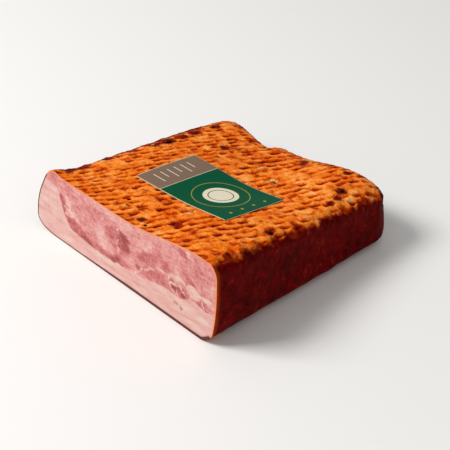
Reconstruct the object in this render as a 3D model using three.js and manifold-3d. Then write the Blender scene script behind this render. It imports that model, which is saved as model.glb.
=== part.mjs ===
// A square block of smoked pork belly with its paper label. The block lies skin down: its
// underside is flat on the rind, one long side is the knife's cut, and its top and other sides
// carry the smoked crust, with the print of the net that it hung in.
// Millimetres, +Z up. X runs along the cut face, Y runs from the cut face to the back.
import * as THREE from 'three';
import { mergeVertices } from 'three/addons/utils/BufferGeometryUtils.js';
import Module from 'manifold-3d';

// Driving dimensions
const WIDTH = 216;          // cut face, end to end
const DEPTH = 195;          // cut face to the furthest point of the back
const CUT_THICKNESS = 62;   // over the middle of the cut face
const CORNER_RISE = 11;     // how much thicker the block is at its +X corner
const THINNING = 0.39;      // share of the thickness that is lost towards the back
const LIP = 4;              // how far the crust curls up at the -X end of the cut
const SWELLS = [1.3, 0.3];  // long and short unevenness of the top
const BACK_SWELL = 7.5;     // how much the top swells again at the +X part of the back
const CORNER_FALL = 6;      // how far the back's +X corner falls away beside it
const CRAGS = 0.9;          // ragged ends of the crust along the rolled edges
const END_SLANT = 24;       // how far the -X end leans in from its foot to its top
const SIDE_DRAFT = 9;       // how far the +X side comes in towards the back
const SIDE_TUCK = 7;        // how far its foot is tucked in at the cut face
const SIDE_HOLLOW = 2;      // how far it is hollowed half way along
const LOBE_FALL = 10;       // how far the back's -X lobe falls away to the notch
const NOTCH = -24;          // where the notch is, along X
const TONGUE = 2;           // how far the +X part of the back stands out
const TOP_ROUND = 11;       // radius where the top rolls over into the sides
const BACK_ROUND = 16;      // radius of the back's upright corners and upper edge
const FOOT_ROUND = 9;       // radius along the foot
const FOOT_LIFT = 5;        // how far the underside's margin rises clear of the table
const TRIM = 2.5;           // what the knife takes off the blank's underside and cut face
const NET_ACROSS = 9;       // between neighbouring pits of one row of the net's print
const NET_ALONG = 10.2;     // between neighbouring rows
const NET_DEPTH = 1.2;      // from the crest of the print to the floor of a pit
const LABEL_SIZE = [100, 62, 0.5];
const LABEL_PLACE = [8, 82];
const LABEL_TURN = 2;       // degrees
const LABEL_GAP = 0.3;      // clear of the crests below

const COLUMNS = 48;         // mesh divisions along X, two to a pit
const ROWS = 58;            // along Y, three to a pit
const LEVELS = 8;           // and up

const HALF = WIDTH / 2;
const radians = THREE.MathUtils.degToRad;
const ramp = THREE.MathUtils.smoothstep;
const hump = (t, middle, reach) => Math.exp(-(((t - middle) / reach) ** 2));

// Thickness of the block at a place on it, without the net's print
function thickness(x, y) {
  const cut = CUT_THICKNESS + CORNER_RISE * ramp(x, 5, 95);
  const lip = LIP * hump(x, 24 - HALF, 9) * hump(y, 0, 16);
  const longSwell = SWELLS[0] * Math.sin(x / 45 + y / 37);
  const shortSwell = SWELLS[1] * Math.sin(x / 15 - y / 21 + 2);
  const behind = BACK_SWELL * hump(x, 52, 42) * ramp(y, 100, 190)
    - CORNER_FALL * ramp(x, 72, 108) * ramp(y, 90, 195);
  const taper = cut * (1 - THINNING * y / DEPTH);
  return taper + behind + lip + (longSwell + shortSwell) * ramp(y, 0, 40);
}

// How far the underside bows up from the table towards its margins
function underside(x, y) {
  return FOOT_LIFT * Math.max(ramp(Math.abs(x), 65, 112), ramp(y, 150, 210));
}

// Where the back ends, seen from above: a lobe, a notch beside it, and a broad tongue
function backEdge(x) {
  const lobe = LOBE_FALL * ramp(x, NOTCH - 56, NOTCH - 4) * ramp(-x, -NOTCH - 4, -NOTCH + 4);
  return DEPTH - TONGUE - lobe + TONGUE * hump(x, 62, 24);
}

// Depth of the net's print at a place on the blank: rows of pits between narrow crests, each row
// set off by half a pit. A pit falls away at its end towards the cut and rises gently behind.
function netPrint(x, y) {
  const row = (y + TRIM) / NET_ALONG;
  const column = x / NET_ACROSS + (Math.floor(row) % 2) / 2;
  const aside = 2 * Math.abs(column - Math.round(column));
  const ahead = row - Math.floor(row);
  const along = Math.min(ramp(ahead, 0, 0.3), 1 - ramp(ahead, 0.3, 1));
  return NET_DEPTH * (1 - ramp(aside, 0.2, 1)) * along;
}

// Torn crust along the edges that roll over
function crags(x, y) {
  const edge = Math.max(hump(x, HALF - 10, 9), hump(x, 14 - HALF, 8));
  return CRAGS * edge * Math.sin(y / 2.6 + 2 * Math.sin(x / 4)) * Math.sin(y / 9 + x / 7);
}

// Rounds the blank's edges, apart from those of the cut face, which the knife leaves sharp
function roundEdges(point) {
  const side = HALF - TOP_ROUND;
  const foot = point.z < CUT_THICKNESS / 2;
  const inner = new THREE.Vector3(
    THREE.MathUtils.clamp(point.x, -side, side),
    Math.min(point.y, DEPTH - BACK_ROUND),
    THREE.MathUtils.clamp(point.z, FOOT_ROUND - TRIM, CUT_THICKNESS - TOP_ROUND));
  const radii = new THREE.Vector3(TOP_ROUND, BACK_ROUND, foot ? FOOT_ROUND : TOP_ROUND);
  const outward = point.clone().sub(inner).divide(radii);
  const reach = Math.max(Math.abs(outward.x), Math.abs(outward.y), Math.abs(outward.z));
  if (reach > 0) outward.multiplyScalar(reach / outward.length());
  return outward.multiply(radii).add(inner);
}

// How far the +X side stands back from upright, at a share of the way along and up
function sideSet(along, up) {
  const draft = SIDE_DRAFT * along * (1 + up / 2);
  const tuck = SIDE_TUCK * (1 - up) ** 3 * Math.max(0, 1 - 2 * along);
  const hollow = SIDE_HOLLOW * Math.sin(Math.PI * along);
  const wave = 1.5 * Math.sin(6.3 * along + 1) * Math.sin(Math.PI * up);
  return draft + tuck + (hollow - wave) * ramp(along, 0, 0.2);
}

// Gives one point of the square blank its place on the block
function shapePoint(blank) {
  const level = -TRIM + (CUT_THICKNESS + TRIM) * (1 - Math.cos(Math.PI * blank.z)) / 2;
  const round = roundEdges(new THREE.Vector3(blank.x, blank.y, level));
  const up = round.z / CUT_THICKNESS;
  const slant = END_SLANT * Math.max(up, 0) ** 2.2 * ramp(-round.x, 20, 110);
  const x = round.x + slant - sideSet(round.y / DEPTH, up) * ramp(round.x, -20, 110);
  const y = round.y * backEdge(x) / DEPTH;
  const relief = crags(x, y) - netPrint(blank.x, blank.y) * ramp(y, 0, 5);
  const floor = underside(x, y);
  const top = thickness(x, y) + relief * ramp(up, 0.85, 0.97);
  return new THREE.Vector3(x, y, floor + up * (top - floor));
}

function closedMesh(geometry) {
  const bare = geometry.clone();
  bare.deleteAttribute('normal');
  bare.deleteAttribute('uv');
  return mergeVertices(bare, 1e-4);
}

const wasm = await Module();
wasm.setup();

function toSolid(geometry) {
  return new wasm.Manifold(new wasm.Mesh({
    numProp: 3,
    vertProperties: new Float32Array(geometry.attributes.position.array),
    triVerts: new Uint32Array(geometry.index.array),
  }));
}

function toGeometry(solid) {
  const mesh = solid.getMesh();
  const geometry = new THREE.BufferGeometry();
  geometry.setAttribute('position', new THREE.BufferAttribute(mesh.vertProperties, 3));
  geometry.setIndex(new THREE.BufferAttribute(mesh.triVerts, 1));
  return geometry;
}

// What the knife takes away: all that lies below the rind and in front of the cut face
function offcut(sizeY, sizeZ, y, z) {
  const box = new THREE.BoxGeometry(2 * WIDTH, sizeY, sizeZ);
  box.translate(0, y, z);
  return toSolid(closedMesh(box));
}

function bellyGeometry() {
  const blank = new THREE.BoxGeometry(WIDTH, DEPTH + TRIM, 1, COLUMNS, ROWS, LEVELS);
  blank.translate(0, (DEPTH - TRIM) / 2, 0.5);
  const solid = closedMesh(blank);
  const position = solid.attributes.position;
  const point = new THREE.Vector3();
  for (let i = 0; i < position.count; i++) {
    point.fromBufferAttribute(position, i);
    const placed = shapePoint(point);
    position.setXYZ(i, placed.x, placed.y, placed.z);
  }
  const under = offcut(3 * DEPTH, 40, 0, -20);
  const front = offcut(40, 3 * DEPTH, -20, 0);
  return toGeometry(toSolid(solid).subtract(under).subtract(front));
}

function labelGeometry() {
  const [length, width, sheet] = LABEL_SIZE;
  const blank = new THREE.BoxGeometry(length, width, sheet, 12, 7, 1);
  blank.rotateZ(radians(LABEL_TURN));
  blank.translate(LABEL_PLACE[0], LABEL_PLACE[1], sheet / 2 + LABEL_GAP);
  const solid = closedMesh(blank);
  const position = solid.attributes.position;
  for (let i = 0; i < position.count; i++) {
    const ground = thickness(position.getX(i), position.getY(i));
    position.setZ(i, position.getZ(i) + ground);
  }
  return solid;
}

const belly = new THREE.Mesh(bellyGeometry(),
  new THREE.MeshStandardMaterial({ color: 0xd9661c, roughness: 0.55, metalness: 0 }));
belly.name = 'smoked_belly';

const label = new THREE.Mesh(labelGeometry(),
  new THREE.MeshStandardMaterial({ color: 0x005a3c, roughness: 0.45, metalness: 0 }));
label.name = 'label';

// The origin is on the table, under the middle of the block
const part = new THREE.Group();
part.add(belly, label);
const middle = new THREE.Box3().setFromObject(belly).getCenter(new THREE.Vector3());
part.position.set(-middle.x, -middle.y, 0);
export default part;
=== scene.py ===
import math

import bmesh
import bpy
from mathutils import Matrix, Vector, geometry, kdtree, noise


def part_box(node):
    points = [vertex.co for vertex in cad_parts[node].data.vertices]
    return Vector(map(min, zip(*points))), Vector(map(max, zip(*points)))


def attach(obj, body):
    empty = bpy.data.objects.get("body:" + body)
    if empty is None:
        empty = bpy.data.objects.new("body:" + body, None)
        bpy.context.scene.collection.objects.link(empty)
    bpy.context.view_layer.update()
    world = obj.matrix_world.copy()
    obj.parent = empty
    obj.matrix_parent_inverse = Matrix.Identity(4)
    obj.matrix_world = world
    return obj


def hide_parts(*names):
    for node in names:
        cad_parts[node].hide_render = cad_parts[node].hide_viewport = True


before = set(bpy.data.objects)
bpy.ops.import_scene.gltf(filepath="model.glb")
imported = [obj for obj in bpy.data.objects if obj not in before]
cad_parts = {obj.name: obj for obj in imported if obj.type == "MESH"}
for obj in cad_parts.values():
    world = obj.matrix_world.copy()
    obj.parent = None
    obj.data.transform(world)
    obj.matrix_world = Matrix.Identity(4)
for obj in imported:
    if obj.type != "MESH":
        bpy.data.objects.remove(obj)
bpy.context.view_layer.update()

# The block's shape. It is one square piece cut from a cured and smoked belly, thick at the right
# and thin at the back, and it lies on its rind. Lengths are millimetres until the mesh is done,
# X along the knife's cut, Y from the cut to the back.
MM = 0.001
WIDTH = 216             # cut face, end to end
DEPTH = 195             # cut face to the furthest point of the back
CUT_THICKNESS = 62      # over the middle of the cut face
CORNER_RISE = 11        # how much thicker the block is at its +X corner
THINNING = 0.39         # share of the thickness that is lost towards the back
LIP = 4                 # how far the crust curls up at the -X end of the cut
SWELLS = (1.3, 0.3)     # long and short unevenness of the top
BACK_SWELL = 7.5        # how much the top swells again at the +X part of the back
CORNER_FALL = 6         # how far the back's +X corner falls away beside it
CRAGS = 0.9             # ragged ends of the crust along the rolled edges
END_SLANT = 24          # how far the -X end leans in from its foot to its top
SIDE_DRAFT = 9          # how far the +X side comes in towards the back
SIDE_TUCK = 7           # how far its foot is tucked in at the cut face
SIDE_HOLLOW = 2         # how far it is hollowed half way along
LOBE_FALL = 10          # how far the back's -X lobe falls away to the notch
NOTCH = -24             # where the notch is, along X
TONGUE = 2              # how far the +X part of the back stands out
TOP_ROUND = 11          # radius where the top rolls over into the sides
BACK_ROUND = 16         # radius of the back's upright corners and upper edge
FOOT_ROUND = 9          # radius along the foot
FOOT_LIFT = 5           # how far the underside's margin rises clear of the table
TRIM = 2.5              # what the knife takes off the blank
NET_ACROSS = 9          # between neighbouring pits of one row of the net's print
NET_ALONG = 10.2        # between neighbouring rows
NET_DEPTH = 1.8         # from a ridge of the print to the floor of a pit
NET_LEAN = 0.35         # how far a pit leans from end to end, as a share of NET_ACROSS
NET_STRAY = (2, 2.4)    # how far the cords strayed, along X and Y
HALF = WIDTH / 2
CELLS = (200, 180, 56)  # mesh divisions along X, along Y and up
HAIR = 1e-6             # a length that counts as none
SEED = 5                # unset, the vector noise would differ from run to run
noise.seed_set(SEED)


def ramp(value, low, high):
    share = min(max((value - low) / (high - low), 0), 1)
    return share * share * (3 - 2 * share)


def hump(value, middle, reach):
    return math.exp(-((value - middle) / reach) ** 2)


def thickness(x, y):
    cut = CUT_THICKNESS + CORNER_RISE * ramp(x, 5, 95)
    lip = LIP * hump(x, 24 - HALF, 9) * hump(y, 0, 16)
    long_swell = SWELLS[0] * math.sin(x / 45 + y / 37)
    short_swell = SWELLS[1] * math.sin(x / 15 - y / 21 + 2)
    behind = BACK_SWELL * hump(x, 52, 42) * ramp(y, 100, 190)
    behind -= CORNER_FALL * ramp(x, 72, 108) * ramp(y, 90, 195)
    taper = cut * (1 - THINNING * y / DEPTH)
    return taper + behind + lip + (long_swell + short_swell) * ramp(y, 0, 40)


def underside(x, y):
    return FOOT_LIFT * max(ramp(abs(x), 65, 112), ramp(y, 150, 210))


def back_edge(x):
    lobe = LOBE_FALL * ramp(x, NOTCH - 56, NOTCH - 4) * ramp(-x, -NOTCH - 4, -NOTCH + 4)
    return DEPTH - TONGUE - lobe + TONGUE * hump(x, 62, 24)


def net_pit(x, y):
    """How deep in a pit of the net's print a place on the blank is, 0 on a ridge between two cords.

    The pits lie in rows, each set off by half a pit. A pit is a leaf that leans a little: it falls
    away at its end towards the cut, and rises gently and narrows behind.
    """
    twist = noise.noise_vector(Vector((x / 10, y / 10, 4)))
    row = (y + TRIM + NET_STRAY[1] * twist.y) / NET_ALONG
    ahead = row - math.floor(row)
    straight = (x + NET_STRAY[0] * twist.x) / NET_ACROSS
    column = straight + math.floor(row) / 2 - NET_LEAN * (ahead - 0.5)
    aside = 2 * abs(column - round(column)) + 0.3 * ahead
    odd = noise.cell(Vector((round(column), math.floor(row), 7)))
    along = 0.1 + 0.9 * min(ramp(ahead, 0, 0.15), 1 - ramp(ahead, 0.65, 1.15))
    return (1 - ramp(aside, 0.05, 0.8)) * along * (0.65 + 0.7 * odd)


def crags(x, y):
    edge = max(hump(x, HALF - 10, 9), hump(x, 14 - HALF, 8))
    return CRAGS * edge * math.sin(y / 2.6 + 2 * math.sin(x / 4)) * math.sin(y / 9 + x / 7)


def round_edges(point):
    side = HALF - TOP_ROUND
    inner = Vector((
        min(max(point.x, -side), side),
        min(point.y, DEPTH - BACK_ROUND),
        min(max(point.z, FOOT_ROUND - TRIM), CUT_THICKNESS - TOP_ROUND),
    ))
    foot = point.z < CUT_THICKNESS / 2
    radii = Vector((TOP_ROUND, BACK_ROUND, FOOT_ROUND if foot else TOP_ROUND))
    outward = Vector([gap / radius for gap, radius in zip(point - inner, radii)])
    if outward.length > 0:
        outward *= max(abs(part) for part in outward) / outward.length
    return inner + outward * radii


def side_set(along, up):
    draft = SIDE_DRAFT * along * (1 + up / 2)
    tuck = SIDE_TUCK * (1 - up) ** 3 * max(0, 1 - 2 * along)
    hollow = SIDE_HOLLOW * math.sin(math.pi * along)
    wave = 1.5 * math.sin(6.3 * along + 1) * math.sin(math.pi * up)
    return draft + tuck + (hollow - wave) * ramp(along, 0, 0.2)


def shape_point(blank):
    """Where a point of the square blank comes to lie, and how deep in a pit of the net it is."""
    level = -TRIM + (CUT_THICKNESS + TRIM) * blank.z
    rounded = round_edges(Vector((blank.x, blank.y, level)))
    up = rounded.z / CUT_THICKNESS
    slant = END_SLANT * max(up, 0) ** 2.2 * ramp(-rounded.x, 20, 110)
    x = rounded.x + slant - side_set(rounded.y / DEPTH, up) * ramp(rounded.x, -20, 110)
    y = rounded.y * back_edge(x) / DEPTH
    pit = net_pit(blank.x, blank.y)
    relief = crags(x, y) - NET_DEPTH * pit * ramp(y, 0, 5)
    floor = underside(x, y)
    top = thickness(x, y) + relief * ramp(up, 0.85, 0.97)
    return Vector((x, y, floor + up * (top - floor))), pit


# The block's skin of small relief. The net's cords left rows of pits, the smoke dried the rolled
# edges into crags and loose flakes, and a few spots on the edges are burnt. A spot is (x, y,
# radius), in millimetres from the block's middle.
BURNT = (
    (-82, -70, 13), (-80, -84, 11), (-78, 14, 12), (-79, 2, 10), (-77, 44, 9), (-77, 29, 9),
    (-80, -45, 8), (-80, -20, 8), (-77, 68, 8), (15, -87, 6), (-42, 47, 7), (38, -74, 7),
    (77, 59, 8), (82, 50, 6), (17, 82, 8), (90, -30, 7), (84, 40, 5), (100, -80, 6), (60, 84, 6),
)
CHARRED = (
    (-80, -72, 3.5), (-76.5, 15, 4.5), (-15.5, -75, 3), (24, -91, 2.5), (91, -30, 3), (77, 60, 3),
)
FLAKES = (
    (2, 45, 6), (25, 35, 9), (31, -55, 5), (-78, 35, 4), (-8, -84, 4), (-48, -69, 4), (21, -90, 5),
    (97, -62, 3), (-75, 86, 6), (-79, 1, 4), (-82, -58, 4), (90, 8, 3), (60, 12, 3), (20, 84, 4),
)
CRUMB_HEIGHT = 0.2
TORN_HEIGHT = 1.1       # of the rolled edges' crags
LOOSE_HEIGHT = 0.4      # of a flake
DENT_DEPTH = 0.9        # of the wide dents in the sides
CHARRED_DEPTH = 0.8
BURNT_DEPTH = 0.6
DRIED = 0.2             # how far the whole skin shrank, which keeps its crags inside the block
RIND_SHARE = 0.3        # how much of this relief the tough rind has
RIND_TOP = 0.88         # share of the -X end's height that is rind
RIND_STRAY = 0.07       # how far that height strays
LABEL_SIZE = (100, 62)
LABEL_TURN = math.radians(2)
label_middle = sum(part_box("label"), Vector()) / 2 / MM


def spots(places, x, y):
    """1 in the middle of the nearest of some round spots, fading to 0 at its edge."""
    return max(
        1 - ramp(math.hypot(x - spot_x, y - spot_y) / radius, 0.25, 1)
        for spot_x, spot_y, radius in places
    )


# What the materials read at each vertex, from "fat" on only on the cut. Drop, fat, vein, seam and
# the two gaps are millimetres: below the top, into the fat, and to the nearest vein, seam, crust
# and rind. Redness is what the bundles add up to, and the others are shares.
block = bmesh.new()
layers = {
    name: block.verts.layers.float.new(name)
    for name in (
        "net_pit", "drop", "burnt", "charred", "flake",
        "fat", "redness", "vein", "seam", "speck", "crust_gap", "rind_gap",
    )
}
bmesh.ops.create_cube(block, size=1)
bmesh.ops.scale(block, vec=(WIDTH, DEPTH, 1), verts=block.verts)
bmesh.ops.translate(block, vec=(0, DEPTH / 2, 0.5), verts=block.verts)
for axis, cells in enumerate(CELLS):
    across = [edge for edge in block.edges if abs((edge.verts[1].co - edge.verts[0].co)[axis]) > HAIR]
    bmesh.ops.subdivide_edges(block, edges=across, cuts=cells - 1, use_grid_fill=True)
CRUST, CUT, RIND = range(3)
for face in block.faces:
    middle = face.calc_center_median()
    stray = RIND_STRAY * noise.noise(Vector((3, middle.y / 16, 0))) * ramp(middle.y, 0, 20)
    if middle.y < HAIR:
        face.material_index = CUT
    elif middle.z < 0.04 or (middle.x < HAIR - HALF and middle.z < RIND_TOP + stray):
        face.material_index = RIND
for vert in block.verts:
    vert.co, pit = shape_point(vert.co)
    vert[layers["net_pit"]] = pit
    vert[layers["drop"]] = thickness(vert.co.x, vert.co.y) - vert.co.z - NET_DEPTH * pit
middle_x = (min(vert.co.x for vert in block.verts) + max(vert.co.x for vert in block.verts)) / 2
cut_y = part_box("smoked_belly")[0].y / MM
bmesh.ops.translate(block, vec=(-middle_x, cut_y, 0), verts=block.verts)
block.normal_update()
for vert in block.verts:
    spot = vert.co.copy()
    vert[layers["burnt"]] = spots(BURNT, spot.x, spot.y)
    vert[layers["charred"]] = spots(CHARRED, spot.x, spot.y)
    vert[layers["flake"]] = spots(FLAKES, spot.x, spot.y) * (1 - ramp(vert[layers["drop"]], 4, 8))
    away = ramp(spot.y - cut_y, 0, 4)
    rolled = hump(vert[layers["drop"]], 3, 6) * ramp(abs(spot.x), 76, 92)
    crumb = CRUMB_HEIGHT * noise.fractal(spot / 2.6, 0.8, 2, 3)
    torn = TORN_HEIGHT * noise.fractal(spot / 5, 0.9, 2.1, 3) * rolled
    loose = LOOSE_HEIGHT * ramp(vert[layers["flake"]] + 0.9 * noise.noise(spot / 3), 0.35, 0.7)
    dented = DENT_DEPTH * noise.noise(spot / 13) * ramp(vert[layers["drop"]], 4, 12)
    sunk = CHARRED_DEPTH * vert[layers["charred"]] + BURNT_DEPTH * vert[layers["burnt"]]
    lies = Matrix.Rotation(-LABEL_TURN, 2) @ (spot - label_middle).xy
    covered = 1 - ramp(max(abs(lies.x) - LABEL_SIZE[0] / 2, abs(lies.y) - LABEL_SIZE[1] / 2), 0, 1.5)
    relief = (crumb + torn + loose + dented - sunk) * (1 - covered) - DRIED
    if all(face.material_index == RIND for face in vert.link_faces):
        relief *= RIND_SHARE
    vert.co += vert.normal * relief * away
    vert.co.y = max(vert.co.y, cut_y)
bmesh.ops.bisect_plane(
    block, geom=block.verts[:] + block.edges[:] + block.faces[:],
    plane_co=(0, 0, 0), plane_no=(0, 0, 1), clear_inner=True,
)
bmesh.ops.edgeloop_fill(block, edges=[edge for edge in block.edges if edge.is_boundary], mat_nr=RIND)
bmesh.ops.recalc_face_normals(block, faces=block.faces)


# What shows on the cut. A thick layer of fat lies along the rind and up the left side, the lean
# above it is in bundles of darker and paler meat, and thin veins of fat run between the bundles.
# Each oval is (x, z, half width, half height, turn in degrees, how much redder), in millimetres.
CUT_STRAY = (2, 1.6)    # how far the drawn lines stray, along X and up
FAT_LINE = (
    (-95, 53), (-84, 51), (-78, 50), (-74, 46), (-73, 38), (-71, 30), (-67, 24), (-60, 18.5),
    (-45, 15.4), (-20, 14.7), (2, 17), (17, 19.5), (27, 19.5), (38, 22.5), (50, 25), (61, 23.7),
    (70, 24), (76, 27), (80, 30), (88, 28.5), (108, 27.5),
)
POCKETS = ((83.5, 37, 7.5, 4.5, -20), (66, 41.5, 8, 2, 0), (97, 38.5, 7, 1.6, 5))
BUNDLES = (
    (-70, 38, 2.4, 9, 12, 1), (-53, 22.5, 17, 6, -22, 0.7), (-25, 18, 24, 4, 3, 0.65),
    (-2, 20, 15, 4, 12, 0.6), (4, 39, 8, 11, -8, 1.2), (-10, 38.5, 9, 9, 0, 0.4),
    (-2, 49, 9, 3, 10, 0.3), (33, 41, 14, 5.5, 18, 0.5), (52, 44, 4.5, 4.5, 0, 0.6),
    (21, 26, 3, 3.4, 30, 0.9), (47, 29, 24, 6.5, 8, 0.55), (69, 30.5, 8, 6.5, 0, 0.6),
    (60, 33, 2.5, 4, 20, 0.7), (73, 28, 2.5, 3.5, -20, 0.7), (91, 32, 11, 4.5, -3, 0.5),
    (72.5, 66, 5, 3.4, -10, 0.75), (82, 44.5, 6, 2.2, -25, 0.7), (-79, 56, 6, 7, 0, 0.3),
    (74, 51, 3, 8, 35, 0.35), (87, 56, 12, 9, -30, 0.25), (-63.5, 42, 2.6, 6, 25, -0.9),
    (-20, 31, 13, 8, -20, -0.4), (32, 52, 9, 5, 20, -0.45), (-58, 34, 8, 2.6, -12, -0.6),
    (-5, 58, 30, 4, 2, -0.35), (62, 60, 12, 4, 3, -0.2), (94, 64, 8, 4, 0, -0.2),
    (-35, 50, 12, 5, 15, 0.2),
)
VEINS = (
    ((-69, 36), (-60, 35), (-52, 31)), ((-67, 31.5), (-58, 31)),
    ((17, 20), (27, 27), (37, 33.5), (44, 37.5), (50, 38)),
    ((50, 38), (57, 38.5), (65, 42), (73, 41), (77, 36)), ((57, 38), (57, 31), (61, 25)),
    ((57, 32), (66, 35), (72, 32)), ((65, 42), (68, 36), (75, 30)), ((66, 35), (64, 29), (67, 24)),
    ((79, 33), (88, 37), (97, 37), (104, 35)), ((-3, 49), (4, 51), (9, 49)), ((76, 69), (81, 70)),
    ((-1, 26), (-3, 34), (-1, 41)), ((84, 39), (85, 32)), ((92, 36), (95, 30)),
)
SEAMS = (
    ((-85, 49), (-89, 38), (-91, 27), (-88, 18)),
    ((-77, 46), (-79, 36), (-78, 26), (-72, 17), (-60, 12)),
    ((-95, 30), (-97, 18), (-90, 9), (-70, 6)), ((-50, 9), (-20, 7), (10, 9), (30, 12)),
    ((28, 14), (42, 17), (54, 17)), ((60, 9), (80, 12), (100, 14)), ((84, 22), (102, 21)),
)
SPECKS = (66, 17, 10, 4.5, 5)


def oval(x, z, middle_x, middle_z, half_x, half_z, turn):
    """How far out a point lies in an oval, 0 in its middle and 1 on its edge."""
    lean = math.radians(turn)
    along = (x - middle_x) * math.cos(lean) + (z - middle_z) * math.sin(lean)
    across = (z - middle_z) * math.cos(lean) - (x - middle_x) * math.sin(lean)
    return math.hypot(along / half_x, across / half_z)


def line_gap(line, x, z):
    """Distance from a line of points, and on which side of it the point lies, 1 for its left."""
    point = Vector((x, z))
    gap, side = 1000, 1
    for start, end in zip(line, line[1:]):
        start, end = Vector(start), Vector(end)
        nearest, share = geometry.intersect_point_line(point, start, end)
        nearest = start if share < 0 else end if share > 1 else nearest
        if (point - nearest).length < gap:
            gap = (point - nearest).length
            side = 1 if (end - start).cross(point - start) > 0 else -1
    return gap, side


on_cut = [vert for vert in block.verts if vert.co.y < cut_y + 1e-4]
for vert in on_cut:
    stray = noise.turbulence_vector(vert.co / 7, 2, False)
    x, z = vert.co.x + CUT_STRAY[0] * stray.x, vert.co.z + CUT_STRAY[1] * stray.z
    gap, side = line_gap(FAT_LINE, x, z)
    pockets = max(8 * (1 - oval(x, z, *pocket)) for pocket in POCKETS)
    vert[layers["fat"]] = max(-side * gap, min(pockets, 3))
    vert[layers["redness"]] = sum(
        amount * (1 - ramp(oval(x, z, *place), 0.6, 1.25)) for *place, amount in BUNDLES
    )
    vert[layers["vein"]] = min(line_gap(vein, x, z)[0] for vein in VEINS)
    vert[layers["seam"]] = min(line_gap(seam, x, z)[0] for seam in SEAMS)
    vert[layers["speck"]] = 1 - ramp(oval(x, z, *SPECKS), 0.5, 1)
for name, outside in (("crust_gap", CRUST), ("rind_gap", RIND)):
    rim = [
        vert for vert in on_cut
        if any(face.material_index == outside for face in vert.link_faces)
    ]
    tree = kdtree.KDTree(len(rim))
    for number, vert in enumerate(rim):
        tree.insert(vert.co, number)
    tree.balance()
    for vert in on_cut:
        vert[layers[name]] = tree.find(vert.co)[2]
# All is smooth but the underside, one flat face of many corners, and the sharp rim of the cut
for face in block.faces:
    face.smooth = len(face.verts) < 8
for edge in block.edges:
    meeting = {face.material_index == CUT for face in edge.link_faces}
    edge.smooth = len(meeting) == 1 and all(face.smooth for face in edge.link_faces)
bmesh.ops.scale(block, vec=(MM, MM, MM), verts=block.verts)
belly_mesh = bpy.data.meshes.new("belly")
block.to_mesh(belly_mesh)
block.free()
belly = bpy.data.objects.new("belly", belly_mesh)
bpy.context.collection.objects.link(belly)
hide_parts("smoked_belly")
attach(belly, "root")


def tone(code):
    """An sRGB hex colour as a linear one."""
    parts = [int(code[at:at + 2], 16) / 255 for at in (1, 3, 5)]
    return (*(part / 12.92 if part <= 0.04045 else ((part + 0.055) / 1.055) ** 2.4 for part in parts), 1)


def add(tree, kind, inputs, out=0, stops=(), **settings):
    """Adds a shader node, sets its fields, stops and inputs, and gives the output that is asked for."""
    made = tree.nodes.new(kind)
    for name, value in settings.items():
        setattr(made, name, value)
    for number, (place, code) in enumerate(stops):
        stop = made.color_ramp.elements[number] if number < 2 else made.color_ramp.elements.new(place)
        stop.position = place
        stop.color = tone(code)
    for name, value in inputs.items():
        if isinstance(value, bpy.types.NodeSocket):
            tree.links.new(value, made.inputs[name])
        else:
            made.inputs[name].default_value = value
    return made.outputs[out]


def start_material(name):
    """A new material, its node tree and its surface shader."""
    material = bpy.data.materials.new(name)
    material.use_nodes = True
    return material, material.node_tree, material.node_tree.nodes["Principled BSDF"]


# Smoked crust: lean meat and fat dried by hot smoke. The print's ridges are a light orange whose palest
# tops are partly a painted highlight, and its pits a red-brown that is partly their own colour and partly
# painted shade;
# lower down, at the sides, it is nearly black-red and gets there by a ragged edge. It is dull with a
# little grease on it.
FRESH_WIDTH = 4.5       # how far the smoke on the sides is paler beside the cut
crust_material, crust, skin = start_material("smoked_crust")
place = add(crust, "ShaderNodeTexCoord", {}, out="Object")
told = {
    name: add(crust, "ShaderNodeAttribute", {}, out="Fac", attribute_name=name)
    for name in ("net_pit", "drop", "burnt", "charred", "flake")
}
patches = add(crust, "ShaderNodeTexNoise", {"Vector": place, "Scale": 1000 / 30, "Detail": 2})
blotches = add(crust, "ShaderNodeTexNoise", {"Vector": place, "Scale": 1000 / 9, "Detail": 3})
mottle = add(crust, "ShaderNodeTexNoise", {
    "Vector": place, "Scale": 1000 / 3.5, "Detail": 5, "Roughness": 0.65, "Distortion": 0.8,
})
grain = add(crust, "ShaderNodeTexNoise", {"Vector": place, "Scale": 1000 / 1.3, "Detail": 2})
# The print, 0 where a ridge is palest and 1 where a pit is darkest, with golden and pink patches. The dark
# pits are partly painted shade and the palest ridges partly a painted highlight
print_tone_and_painted_light = told["net_pit"]
for texture, weight in ((blotches, 1.2), (mottle, 1.0), (grain, 0.35), (patches, 0.8)):
    print_tone_and_painted_light = add(crust, "ShaderNodeMath", {0: texture, 1: weight, 2: print_tone_and_painted_light}, operation="MULTIPLY_ADD")
over_edge = add(crust, "ShaderNodeMapRange", {0: told["drop"], 1: 1.5, 2: 6.0, 3: 0.0, 4: 0.3})
print_tone_and_painted_light = add(crust, "ShaderNodeMath", {0: print_tone_and_painted_light, 1: over_edge}, operation="SUBTRACT")
print_tone_and_painted_light = add(crust, "ShaderNodeMapRange", {0: print_tone_and_painted_light, 1: 1.27, 2: 2.57})
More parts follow.
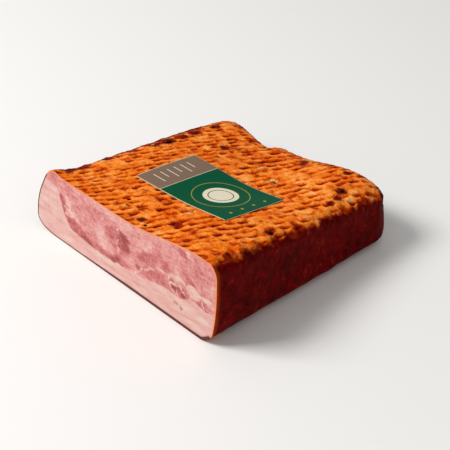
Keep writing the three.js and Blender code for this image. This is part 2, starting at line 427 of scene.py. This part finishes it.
# The red-brown pit stops are partly the crust's own colour and partly painted shade in the pits; the
# palest ridge stops are partly a painted highlight
colour = add(crust, "ShaderNodeValToRGB", {0: print_tone_and_painted_light}, stops=(
    (0, "#ffb66c"), (0.16, "#ff9c44"), (0.32, "#f98122"), (0.48, "#e66109"),
    (0.66, "#c84002"), (0.82, "#a02601"), (1, "#6e0e02"),
))
golden = add(crust, "ShaderNodeMapRange", {0: patches, 1: 0.48, 2: 0.62, 4: 0.5})
golden = add(crust, "ShaderNodeMath", {0: golden, 1: print_tone_and_painted_light}, operation="SUBTRACT", use_clamp=True)
colour = add(crust, "ShaderNodeMix", {0: golden, 6: colour, 7: tone("#f29a10")}, out=2, data_type="RGBA")
pink = add(
    crust, "ShaderNodeTexNoise", {"Vector": place, "Scale": 1000 / 5, "Detail": 3, "W": 3.0},
    noise_dimensions="4D",
)
pink = add(crust, "ShaderNodeMapRange", {0: pink, 1: 0.58, 2: 0.68, 4: 0.2})
colour = add(crust, "ShaderNodeMix", {0: pink, 6: colour, 7: tone("#e58a66")}, out=2, data_type="RGBA")
# Burnt spots, and flakes that stand off with a pale middle and a dark rim; the dark rim is a painted
# shadow under the flake
burnt = add(crust, "ShaderNodeMath", {0: mottle, 1: 1.6, 2: told["burnt"]}, operation="MULTIPLY_ADD")
burnt = add(crust, "ShaderNodeMapRange", {0: burnt, 1: 0.95, 2: 1.6})
colour = add(crust, "ShaderNodeMix", {0: burnt, 6: colour, 7: tone("#640d04")}, out=2, data_type="RGBA")
flake = add(crust, "ShaderNodeMath", {0: told["flake"], 1: 0.26, 2: mottle}, operation="MULTIPLY_ADD")
# The darkest stop is a painted shadow around the flake's rim; the paler stops are the flake's own colour
torn = add(crust, "ShaderNodeValToRGB", {0: flake}, stops=(
    (0.68, "#5a1004"), (0.73, "#e08238"), (0.8, "#f4ae62"), (0.9, "#fbca8c"),
))
flake = add(crust, "ShaderNodeMapRange", {0: flake, 1: 0.67, 2: 0.71})
colour = add(crust, "ShaderNodeMix", {0: flake, 6: colour, 7: torn}, out=2, data_type="RGBA")
# Smoke on the sides, below a ragged edge whose tongues run down
tongues = add(crust, "ShaderNodeMapping", {"Vector": place, "Scale": (1, 1, 0.45)})
tongues = add(crust, "ShaderNodeTexNoise", {
    "Vector": tongues, "Scale": 1000 / 8, "Detail": 4, "Roughness": 0.6,
})
level = add(crust, "ShaderNodeMath", {0: blotches, 1: 7.0, 2: told["drop"]}, operation="MULTIPLY_ADD")
level = add(crust, "ShaderNodeMath", {0: tongues, 1: 12.0, 2: level}, operation="MULTIPLY_ADD")
reddened = add(crust, "ShaderNodeMapRange", {0: level, 1: 10.3, 2: 12.0, 4: 0.9})
colour = add(crust, "ShaderNodeMix", {0: reddened, 6: colour, 7: tone("#a02a05")}, out=2, data_type="RGBA")
smoky = add(crust, "ShaderNodeMapRange", {0: level, 1: 11.6, 2: 14.0}, interpolation_type="SMOOTHSTEP")
scraped = add(crust, "ShaderNodeMapping", {
    "Vector": place, "Rotation": (0.5, 0, 0), "Scale": (1, 1, 0.6),
})
scraped = add(crust, "ShaderNodeTexNoise", {"Vector": scraped, "Scale": 1000 / 4, "Detail": 4})
sooty = add(crust, "ShaderNodeMath", {0: scraped, 1: 0.8, 2: mottle}, operation="MULTIPLY_ADD")
sooty = add(crust, "ShaderNodeMath", {0: patches, 1: 0.5, 2: sooty}, operation="MULTIPLY_ADD")
sooty = add(crust, "ShaderNodeMapRange", {0: sooty, 1: 0.75, 2: 1.55})
sooty = add(crust, "ShaderNodeValToRGB", {0: sooty}, stops=(
    (0.15, "#300203"), (0.45, "#580303"), (0.72, "#720505"), (0.9, "#8c2818"),
))
freshly_cut = add(crust, "ShaderNodeSeparateXYZ", {0: place}, out="Y")
freshly_cut = add(crust, "ShaderNodeMapRange", {
    0: freshly_cut, 1: cut_y * MM, 2: (cut_y + FRESH_WIDTH) * MM, 3: 1.4, 4: 0.0,
})
freshly_cut = add(crust, "ShaderNodeMath", {0: freshly_cut, 1: blotches}, operation="MULTIPLY")
sooty = add(
    crust, "ShaderNodeMix", {0: freshly_cut, 6: sooty, 7: tone("#bc4614")}, out=2, data_type="RGBA",
)
colour = add(crust, "ShaderNodeMix", {0: smoky, 6: colour, 7: sooty}, out=2, data_type="RGBA")
charred = add(crust, "ShaderNodeMath", {0: mottle, 1: 0.9, 2: told["charred"]}, operation="MULTIPLY_ADD")
charred = add(crust, "ShaderNodeMapRange", {0: charred, 1: 0.9, 2: 1.05})
colour = add(crust, "ShaderNodeMix", {0: charred, 6: colour, 7: tone("#120202")}, out=2, data_type="RGBA")
crust.links.new(colour, skin.inputs["Base Color"])
rough = add(crust, "ShaderNodeMapRange", {0: mottle, 1: 0.3, 2: 0.7, 3: 0.4, 4: 0.65})
crust.links.new(rough, skin.inputs["Roughness"])
height = add(crust, "ShaderNodeMath", {0: mottle, 1: 2.0, 2: grain}, operation="MULTIPLY_ADD")
bump = add(crust, "ShaderNodeBump", {"Height": height, "Strength": 0.55, "Distance": 0.0009})
crust.links.new(bump, skin.inputs["Normal"])
skin.inputs["Specular IOR Level"].default_value = 0.03
skin.inputs["Specular Tint"].default_value = tone("#ff8a5c")


# Cut meat: cured lean and fat, moist and slightly glossy from the knife. Cured lean is pink to
# brick red in fibres a millimetre or two across, fat is cream and faintly streaked along the
# rind, and the edge is dyed orange by the smoke.
RIND_SHOWN = (1.3, 2.8)     # millimetres of rind that show under the cut, at its left and right
RIND_WIDENS = (-60, 10)     # between these places along X, in millimetres
cut_material, meat, flesh = start_material("cut_meat")
place = add(meat, "ShaderNodeTexCoord", {}, out="Object")
told = {
    name: add(meat, "ShaderNodeAttribute", {}, out="Fac", attribute_name=name)
    for name in ("fat", "redness", "vein", "seam", "speck", "crust_gap", "rind_gap")
}
clouds = add(meat, "ShaderNodeTexNoise", {"Vector": place, "Scale": 1000 / 14, "Detail": 3})
mottle = add(meat, "ShaderNodeTexNoise", {
    "Vector": place, "Scale": 1000 / 3.6, "Detail": 5, "Roughness": 0.65, "Distortion": 0.6,
})
grain = add(meat, "ShaderNodeTexNoise", {"Vector": place, "Scale": 1000 / 1.4, "Detail": 2})
fibres = add(meat, "ShaderNodeMapping", {"Vector": place, "Rotation": (0, 0.7, 0), "Scale": (1, 1, 3)})
fibres = add(meat, "ShaderNodeTexNoise", {"Vector": fibres, "Scale": 1000 / 5, "Detail": 4})
# Lean, 0 where it is palest and 1 where it is reddest
red = told["redness"]
for texture, weight in ((clouds, 2.2), (mottle, 2.0), (fibres, 1.8), (grain, 1.2)):
    red = add(meat, "ShaderNodeMath", {0: texture, 1: weight, 2: red}, operation="MULTIPLY_ADD")
red = add(meat, "ShaderNodeMapRange", {0: red, 1: 2.8, 2: 5.05})
lean = add(meat, "ShaderNodeValToRGB", {0: red}, stops=(
    (0, "#dbaca3"), (0.2, "#d5958f"), (0.4, "#cd817c"),
    (0.58, "#c06a67"), (0.78, "#ae5352"), (1, "#913a3a"),
))
# Fat, with pink seams in it and a few brown specks, and the veins that run on into the lean
streaks = add(meat, "ShaderNodeMapping", {"Vector": place, "Scale": (0.35, 1, 1.3)})
streaks = add(meat, "ShaderNodeTexNoise", {
    "Vector": streaks, "Scale": 1000 / 6, "Detail": 5, "Roughness": 0.65,
})
fat = add(meat, "ShaderNodeValToRGB", {0: streaks}, stops=(
    (0.33, "#dcbcaf"), (0.45, "#d8ada2"), (0.56, "#d5a299"), (0.68, "#cf948d"),
))
seam = add(meat, "ShaderNodeMath", {0: mottle, 1: 3.0, 2: told["seam"]}, operation="MULTIPLY_ADD")
seam = add(meat, "ShaderNodeMapRange", {0: seam, 1: 1.5, 2: 2.6, 3: 0.55, 4: 0.0})
fat = add(meat, "ShaderNodeMix", {0: seam, 6: fat, 7: tone("#c98583")}, out=2, data_type="RGBA")
speck = add(meat, "ShaderNodeMath", {0: told["speck"], 1: mottle}, operation="MULTIPLY")
speck = add(meat, "ShaderNodeMapRange", {0: speck, 1: 0.43, 2: 0.54, 4: 0.85})
fat = add(meat, "ShaderNodeMix", {0: speck, 6: fat, 7: tone("#a87648")}, out=2, data_type="RGBA")
fatty = add(meat, "ShaderNodeMath", {0: mottle, 1: 3.5, 2: told["fat"]}, operation="MULTIPLY_ADD")
fatty = add(meat, "ShaderNodeMapRange", {0: fatty, 1: 1.3, 2: 2.2}, interpolation_type="SMOOTHSTEP")
colour = add(meat, "ShaderNodeMix", {0: fatty, 6: lean, 7: fat}, out=2, data_type="RGBA")
veined = add(meat, "ShaderNodeMath", {0: mottle, 1: 3.6, 2: told["vein"]}, operation="MULTIPLY_ADD")
veined = add(meat, "ShaderNodeMapRange", {0: veined, 1: 1.9, 2: 2.9, 3: 0.85, 4: 0.0})
colour = add(meat, "ShaderNodeMix", {0: veined, 6: colour, 7: tone("#dfc0af")}, out=2, data_type="RGBA")
# The rim, dyed by the smoke along the crust and brown along the rind
dyed = add(
    meat, "ShaderNodeMapRange", {0: told["crust_gap"], 1: 0.5, 2: 5.0, 3: 0.35, 4: 0.0},
    interpolation_type="SMOOTHSTEP",
)
colour = add(meat, "ShaderNodeMix", {0: dyed, 6: colour, 7: tone("#dc9272")}, out=2, data_type="RGBA")
dyed = add(meat, "ShaderNodeMath", {0: mottle, 1: 2.4, 2: told["crust_gap"]}, operation="MULTIPLY_ADD")
dyed = add(
    meat, "ShaderNodeMapRange", {0: dyed, 1: 1.5, 2: 2.8, 3: 0.95, 4: 0.0},
    interpolation_type="SMOOTHSTEP",
)
colour = add(meat, "ShaderNodeMix", {0: dyed, 6: colour, 7: tone("#e88744")}, out=2, data_type="RGBA")
along = add(meat, "ShaderNodeSeparateXYZ", {0: place}, out="X")
skin_depth = add(meat, "ShaderNodeMapRange", {
    0: along, 1: RIND_WIDENS[0] * MM, 2: RIND_WIDENS[1] * MM, 3: RIND_SHOWN[0], 4: RIND_SHOWN[1],
})
brown = add(meat, "ShaderNodeMath", {0: mottle, 1: 0.6, 2: told["rind_gap"]}, operation="MULTIPLY_ADD")
brown = add(meat, "ShaderNodeMath", {0: brown, 1: skin_depth}, operation="DIVIDE")
brown = add(meat, "ShaderNodeMapRange", {0: brown, 1: 0.95, 2: 1.4, 3: 1.0, 4: 0.0})
colour = add(meat, "ShaderNodeMix", {0: brown, 6: colour, 7: tone("#5a1e13")}, out=2, data_type="RGBA")
meat.links.new(colour, flesh.inputs["Base Color"])
flesh.inputs["Roughness"].default_value = 0.45
flesh.inputs["Specular IOR Level"].default_value = 0.2
height = add(meat, "ShaderNodeMath", {0: fibres, 1: 1.4, 2: mottle}, operation="MULTIPLY_ADD")
bump = add(meat, "ShaderNodeBump", {"Height": height, "Strength": 0.4, "Distance": 0.0005})
meat.links.new(bump, flesh.inputs["Normal"])


# Rind: the pig's own skin, smoked to a tough brown leather two millimetres thick. It is smoother
# and glossier than the crust, with the fine net of a skin's creases.
rind_material, rind, leather = start_material("smoked_rind")
place = add(rind, "ShaderNodeTexCoord", {}, out="Object")
clouds = add(rind, "ShaderNodeTexNoise", {
    "Vector": place, "Scale": 1000 / 25, "Detail": 5, "Roughness": 0.6,
})
pores = add(rind, "ShaderNodeTexNoise", {"Vector": place, "Scale": 1000 / 2, "Detail": 3})
shade = add(rind, "ShaderNodeMath", {0: pores, 1: 0.35, 2: clouds}, operation="MULTIPLY_ADD")
colour = add(rind, "ShaderNodeValToRGB", {0: shade}, stops=(
    (0.48, "#4c1509"), (0.64, "#7a3010"), (0.78, "#a8541c"), (0.9, "#c2732e"),
))
rind.links.new(colour, leather.inputs["Base Color"])
leather.inputs["Roughness"].default_value = 0.45
leather.inputs["Specular IOR Level"].default_value = 0.15
creases = add(
    rind, "ShaderNodeTexVoronoi", {"Vector": place, "Scale": 1000 / 2.5},
    feature="DISTANCE_TO_EDGE",
)
bump = add(rind, "ShaderNodeBump", {"Height": creases, "Strength": 0.3, "Distance": 0.0005})
rind.links.new(bump, leather.inputs["Normal"])
for material in (crust_material, cut_material, rind_material):
    belly_mesh.materials.append(material)


# The paper label, stuck flat over the net's print. It is a coated sheet with rounded corners,
# printed in green and grey-brown in a plain layout, and its bare rim is cream.
LABEL_PAPER = 0.3       # drawn thicker than real paper, for its edge to show
LABEL_CORNER = 2.5
LABEL_GAP = 0.35        # clear of the ridges below
LABEL_CELL = 2          # between the cuts that let it follow the top
sheet = bmesh.new()
bmesh.ops.create_grid(sheet, x_segments=1, y_segments=1, size=0.5)
bmesh.ops.scale(sheet, vec=(*LABEL_SIZE, 1), verts=sheet.verts)
bmesh.ops.bevel(
    sheet, geom=sheet.verts[:], offset=LABEL_CORNER, segments=5,
    affect="VERTICES", profile=0.5, material=-1,
)
for axis in (0, 1):
    for cut in range(1, LABEL_SIZE[axis] // LABEL_CELL):
        middle, facing = Vector(), Vector()
        middle[axis] = cut * LABEL_CELL - LABEL_SIZE[axis] / 2
        facing[axis] = 1
        bmesh.ops.bisect_plane(
            sheet, geom=sheet.verts[:] + sheet.edges[:] + sheet.faces[:], plane_co=middle, plane_no=facing,
        )
uv_layer = sheet.loops.layers.uv.new("print")
for face in sheet.faces:
    for loop in face.loops:
        loop[uv_layer].uv = [loop.vert.co[axis] / LABEL_SIZE[axis] + 0.5 for axis in (0, 1)]
bmesh.ops.solidify(sheet, geom=sheet.faces[:], thickness=LABEL_PAPER)
for vert in sheet.verts:
    x = label_middle.x + vert.co.x * math.cos(LABEL_TURN) - vert.co.y * math.sin(LABEL_TURN)
    y = label_middle.y + vert.co.x * math.sin(LABEL_TURN) + vert.co.y * math.cos(LABEL_TURN)
    vert.co = (x, y, vert.co.z + thickness(x + middle_x, y - cut_y) + LABEL_GAP)
bmesh.ops.recalc_face_normals(sheet, faces=sheet.faces)
bmesh.ops.scale(sheet, vec=(MM, MM, MM), verts=sheet.verts)
label_mesh = bpy.data.meshes.new("paper_label")
sheet.to_mesh(label_mesh)
sheet.free()
label_mesh.shade_smooth()
paper_label = bpy.data.objects.new("paper_label", label_mesh)
bpy.context.collection.objects.link(paper_label)
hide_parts("label")
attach(paper_label, "root")


# Coated paper: smooth and only faintly glossy, with flat fields of ink. Lengths are millimetres
# from the label's lower left corner.
GREEN, TAUPE, CREAM, IVORY, GOLD = "#005134", "#806857", "#d6c9ae", "#e4dac0", "#a5903c"
BARE_PAPER, BAND_LINE = "#cfc39f", "#dccfa8"
EDGE = 0.6              # width of the bare rim
BAND = 27               # width of the band at the left
ROUNDEL = (63, 31)
paper_material, paper, coat = start_material("coated_paper")
uv = add(paper, "ShaderNodeUVMap", {}, uv_map="print")
place = add(paper, "ShaderNodeVectorMath", {0: uv, 1: (*LABEL_SIZE, 1)}, operation="MULTIPLY")


def printed_bar(left, low, width, height):
    """1 inside a bar of ink and 0 outside."""
    middle = (left + width / 2, low + height / 2, 0)
    share = (2 / width, 2 / height, 0)
    away = add(paper, "ShaderNodeVectorMath", {0: place, 1: middle}, operation="SUBTRACT")
    away = add(paper, "ShaderNodeVectorMath", {0: away, 1: share}, operation="MULTIPLY")
    away = add(paper, "ShaderNodeVectorMath", {0: away}, operation="ABSOLUTE")
    reach = add(paper, "ShaderNodeSeparateXYZ", {0: away}, out="X")
    reach = add(paper, "ShaderNodeMath", {0: reach, 1: reach.node.outputs["Y"]}, operation="MAXIMUM")
    return add(paper, "ShaderNodeMath", {0: reach, 1: 1.0}, operation="LESS_THAN")


def printed_ring(middle_x, middle_y, inside, outside):
    """1 between two circles and 0 elsewhere."""
    radius = add(
        paper, "ShaderNodeVectorMath", {0: place, 1: (middle_x, middle_y, 0)},
        out="Value", operation="DISTANCE",
    )
    return add(
        paper, "ShaderNodeMath",
        {0: radius, 1: (inside + outside) / 2, 2: (outside - inside) / 2}, operation="COMPARE",
    )


wide, high = (length - 2 * EDGE for length in LABEL_SIZE)
inks = [(GREEN, printed_bar(EDGE, EDGE, wide, high)), (TAUPE, printed_bar(EDGE, EDGE, BAND, high))]
inks.append((BAND_LINE, printed_bar(EDGE + BAND, EDGE, 0.5, high)))
inks += [(CREAM, printed_bar(7, 12 + 7 * row, 14 - 4 * (row % 2), 1)) for row in range(6)]
inks += [
    (code, printed_ring(*ROUNDEL, inside, outside))
    for code, inside, outside in ((GOLD, 22, 22.7), (IVORY, 0, 14), (GREEN, 9.4, 10.2))
]
inks += [(GOLD, printed_ring(92, 13 + 12 * dot, 0, 1.3)) for dot in range(4)]
colour = tone(BARE_PAPER)
for code, inked in inks:
    colour = add(paper, "ShaderNodeMix", {0: inked, 6: colour, 7: tone(code)}, out=2, data_type="RGBA")
paper.links.new(colour, coat.inputs["Base Color"])
coat.inputs["Roughness"].default_value = 0.4
coat.inputs["Specular IOR Level"].default_value = 0.03
label_mesh.materials.append(paper_material)


# The stage: a plain pale floor, a large soft lamp at the front left that leaves the right side in
# shade, and a weak fill. The camera stands as far round and as high as the photograph's did.
# A lamp is (name, side that it stands on, watts, size), and lengths are metres.
FLOOR = "#f4f2ef"
FLOOR_HALF = 3
LAMPS = (("key", (-0.46, -0.62, 0.78), 42, 0.9), ("fill", (0.6, -0.7, 0.5), 3, 1.8))
LAMPS_AWAY = 2.2
SKY_STRENGTH = 0.4
TARGET = Vector((0, 0, 0.034))
AZIMUTH = math.radians(47.6)
ELEVATION = math.radians(34)
DISTANCE = 0.945
ASIDE = (0.0062, -0.0207)
LENS, SENSOR = 96, 36   # millimetres
floor_mesh = bpy.data.meshes.new("floor")
plane = bmesh.new()
bmesh.ops.create_grid(plane, x_segments=1, y_segments=1, size=FLOOR_HALF)
plane.to_mesh(floor_mesh)
plane.free()
floor = bpy.data.objects.new("floor", floor_mesh)
floor_material, _, board = start_material("painted_board")
board.inputs["Base Color"].default_value = tone(FLOOR)
board.inputs["Roughness"].default_value = 0.7
floor_mesh.materials.append(floor_material)
bpy.context.collection.objects.link(floor)
for name, side, watts, size in LAMPS:
    lamp = bpy.data.lights.new(name, "AREA")
    lamp.energy = watts
    lamp.size = size
    lit = bpy.data.objects.new(name, lamp)
    lit.location = TARGET + Vector(side).normalized() * LAMPS_AWAY
    lit.rotation_mode = "QUATERNION"
    lit.rotation_quaternion = Vector(side).to_track_quat("Z", "Y")
    bpy.context.collection.objects.link(lit)
world = bpy.data.worlds.new("studio")
world.use_nodes = True
sky = world.node_tree.nodes["Background"]
sky.inputs["Color"].default_value = (1, 1, 1, 1)
sky.inputs["Strength"].default_value = SKY_STRENGTH
bpy.context.scene.world = world
bpy.context.scene.view_settings.view_transform = "Standard"
back = Vector((
    math.sin(AZIMUTH) * math.cos(ELEVATION),
    -math.cos(AZIMUTH) * math.cos(ELEVATION),
    math.sin(ELEVATION),
))
right = Vector((math.cos(AZIMUTH), math.sin(AZIMUTH), 0))
camera = bpy.data.objects.new("camera", bpy.data.cameras.new("camera"))
camera.data.lens = LENS
camera.data.sensor_width = SENSOR
camera.location = TARGET + back * DISTANCE + right * ASIDE[0] + back.cross(right) * ASIDE[1]
camera.rotation_mode = "QUATERNION"
camera.rotation_quaternion = back.to_track_quat("Z", "Y")
bpy.context.collection.objects.link(camera)
bpy.context.scene.camera = camera
